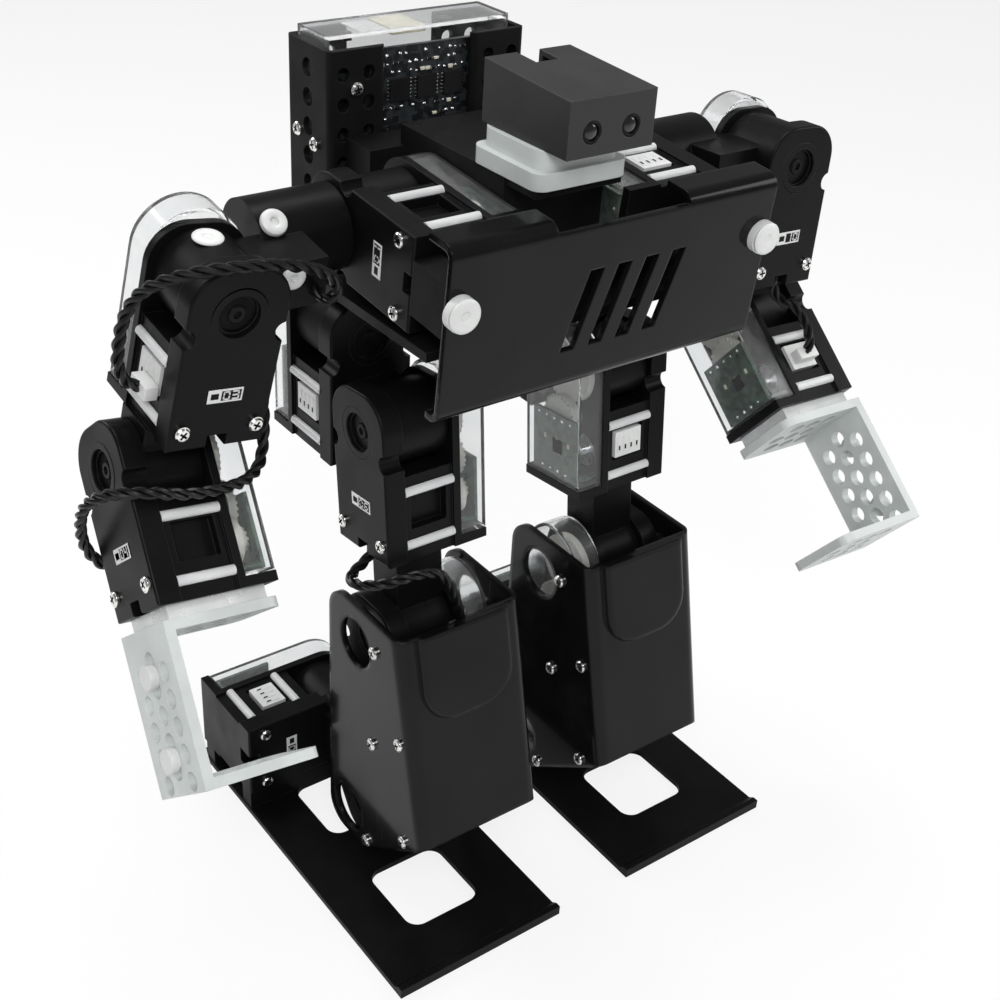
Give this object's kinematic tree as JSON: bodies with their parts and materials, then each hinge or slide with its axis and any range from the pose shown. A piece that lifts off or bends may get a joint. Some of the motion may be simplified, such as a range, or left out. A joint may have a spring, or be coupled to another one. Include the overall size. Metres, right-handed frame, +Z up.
{
  "type": "humanoid robot kit",
  "caption": "Small standing humanoid robot built from servo modules, with open hands, flat window feet, a boxy head and a controller pack on its back.",
  "frame": {"origin": "centre of the bounding box at the level of the soles", "axes": "+Z up, the robot faces -Y, its left arm is towards +X"},
  "size_m": [0.2631, 0.1536, 0.2745],
  "materials": {
    "black_case": "moulded black nylon, fine texture",
    "black_gloss": "polished black sheet",
    "clear": "clear polycarbonate",
    "works": "gears, motor and board",
    "grey": "light grey plastic",
    "white": "white nylon",
    "board": "circuit board",
    "lead": "twisted black leads"
  },
  "bodies": {
    "torso": {"torso_frame": "black_case", "chest_plate": "black_gloss", "chest_rivets": "white", "shoulder_servo_cases": "black_case", "shoulder_servo_rear_cases": "clear", "shoulder_servo_drives": "works", "head_case": "black_case", "head_sensors": "board", "head_riser": "grey", "controller_plates": "black_case", "controller_board": "board", "controller_case": "clear"},
    "right_shoulder": {"right_shoulder_block": "black_case"},
    "right_upper_arm": {"right_upper_arm_case": "black_case", "right_upper_arm_rear_case": "clear", "right_upper_arm_drive": "works", "right_shoulder_lead": "lead"},
    "right_forearm": {"right_forearm_case": "black_case", "right_forearm_rear_case": "clear", "right_forearm_drive": "works", "right_hand": "grey", "right_elbow_lead": "lead"},
    "right_hip": {"right_hip_case": "black_case", "right_hip_gearbox": "works"},
    "right_thigh": {"right_thigh_case": "black_case", "right_thigh_rear_case": "clear", "right_thigh_drive": "works"},
    "right_shin": {"right_shin_shell": "black_gloss", "right_shin_servo_cases": "black_case", "right_shin_servo_rear_cases": "clear", "right_shin_servo_drives": "works", "right_knee_lead": "lead"},
    "right_ankle": {"right_ankle_block": "black_case"},
    "right_foot": {"right_foot_plate": "black_case", "right_foot_servo_case": "black_case", "right_foot_servo_rear_case": "clear", "right_foot_servo_drive": "works"},
    "left_shoulder": {"left_shoulder_block": "black_case"},
    "left_upper_arm": {"left_upper_arm_case": "black_case", "left_upper_arm_rear_case": "clear", "left_upper_arm_drive": "works"},
    "left_forearm": {"left_forearm_case": "black_case", "left_forearm_rear_case": "clear", "left_forearm_drive": "works", "left_hand": "grey", "left_elbow_lead": "lead"},
    "left_hip": {"left_hip_case": "black_case", "left_hip_gearbox": "works"},
    "left_thigh": {"left_thigh_case": "black_case", "left_thigh_rear_case": "clear", "left_thigh_drive": "works"},
    "left_shin": {"left_shin_shell": "black_gloss", "left_shin_servo_cases": "black_case", "left_shin_servo_rear_cases": "clear", "left_shin_servo_drives": "works"},
    "left_ankle": {"left_ankle_block": "black_case"},
    "left_foot": {"left_foot_plate": "black_case", "left_foot_servo_case": "black_case", "left_foot_servo_rear_case": "clear", "left_foot_servo_drive": "works"}
  },
  "joints": [
    {"name": "right_shoulder_pitch", "type": "hinge", "parent": "torso", "child": "right_shoulder", "pos_m": [-0.04437, 0.01787, 0.22842], "axis": [1, 0, 0], "range_deg": [-120, 45]},
    {"name": "right_shoulder_roll", "type": "hinge", "parent": "right_shoulder", "child": "right_upper_arm", "pos_m": [-0.09037, -0.01349, 0.22345], "axis": [0, 0.9877, 0.1564], "range_deg": [-8, 80], "deforming": ["right_shoulder_lead"]},
    {"name": "right_elbow", "type": "hinge", "parent": "right_upper_arm", "child": "right_forearm", "pos_m": [-0.1207, 0.01325, 0.17291], "axis": [0.989, 0.0231, -0.146], "range_deg": [-38, 49], "deforming": ["right_elbow_lead"]},
    {"name": "right_hip_roll", "type": "hinge", "parent": "torso", "child": "right_hip", "pos_m": [-0.02892, 0.02082, 0.18751], "axis": [0, 1, 0], "range_deg": [-3, 21]},
    {"name": "right_hip_pitch", "type": "hinge", "parent": "right_hip", "child": "right_thigh", "pos_m": [-0.04467, 0.00382, 0.16801], "axis": [1, 0, 0], "range_deg": [-80, 9]},
    {"name": "right_knee", "type": "hinge", "parent": "right_thigh", "child": "right_shin", "pos_m": [-0.04467, -0.00371, 0.0964], "axis": [1, 0, 0], "range_deg": [-6, 42], "deforming": ["right_knee_lead"]},
    {"name": "right_ankle_pitch", "type": "hinge", "parent": "right_shin", "child": "right_ankle", "pos_m": [-0.04467, -0.00001, 0.0236], "axis": [1, 0, 0], "range_deg": [-23, 33]},
    {"name": "right_ankle_roll", "type": "hinge", "parent": "right_ankle", "child": "right_foot", "pos_m": [-0.02767, 0.03679, 0.0236], "axis": [0, 1, 0], "range_deg": [-18, 18]},
    {"name": "left_shoulder_pitch", "type": "hinge", "parent": "torso", "child": "left_shoulder", "pos_m": [0.06603, 0.01787, 0.22842], "axis": [1, 0, 0], "range_deg": [-120, 45]},
    {"name": "left_shoulder_roll", "type": "hinge", "parent": "left_shoulder", "child": "left_upper_arm", "pos_m": [0.11203, -0.01387, 0.22936], "axis": [0, 0.9996, -0.0297], "range_deg": [-83, 3]},
    {"name": "left_elbow", "type": "hinge", "parent": "left_upper_arm", "child": "left_forearm", "pos_m": [0.13097, 0.00287, 0.16977], "axis": [0.9986, -0.0016, -0.0523], "range_deg": [-38, 49], "deforming": ["left_elbow_lead"]},
    {"name": "left_hip_roll", "type": "hinge", "parent": "torso", "child": "left_hip", "pos_m": [0.05058, 0.02082, 0.18751], "axis": [0, 1, 0], "range_deg": [-21, 3]},
    {"name": "left_hip_pitch", "type": "hinge", "parent": "left_hip", "child": "left_thigh", "pos_m": [0.06633, 0.00382, 0.16801], "axis": [1, 0, 0], "range_deg": [-80, 9]},
    {"name": "left_knee", "type": "hinge", "parent": "left_thigh", "child": "left_shin", "pos_m": [0.06633, -0.00371, 0.0964], "axis": [1, 0, 0], "range_deg": [-6, 42]},
    {"name": "left_ankle_pitch", "type": "hinge", "parent": "left_shin", "child": "left_ankle", "pos_m": [0.06633, -0.00001, 0.0236], "axis": [1, 0, 0], "range_deg": [-23, 33]},
    {"name": "left_ankle_roll", "type": "hinge", "parent": "left_ankle", "child": "left_foot", "pos_m": [0.04933, 0.03679, 0.0236], "axis": [0, 1, 0], "range_deg": [-18, 18]}
  ]
}
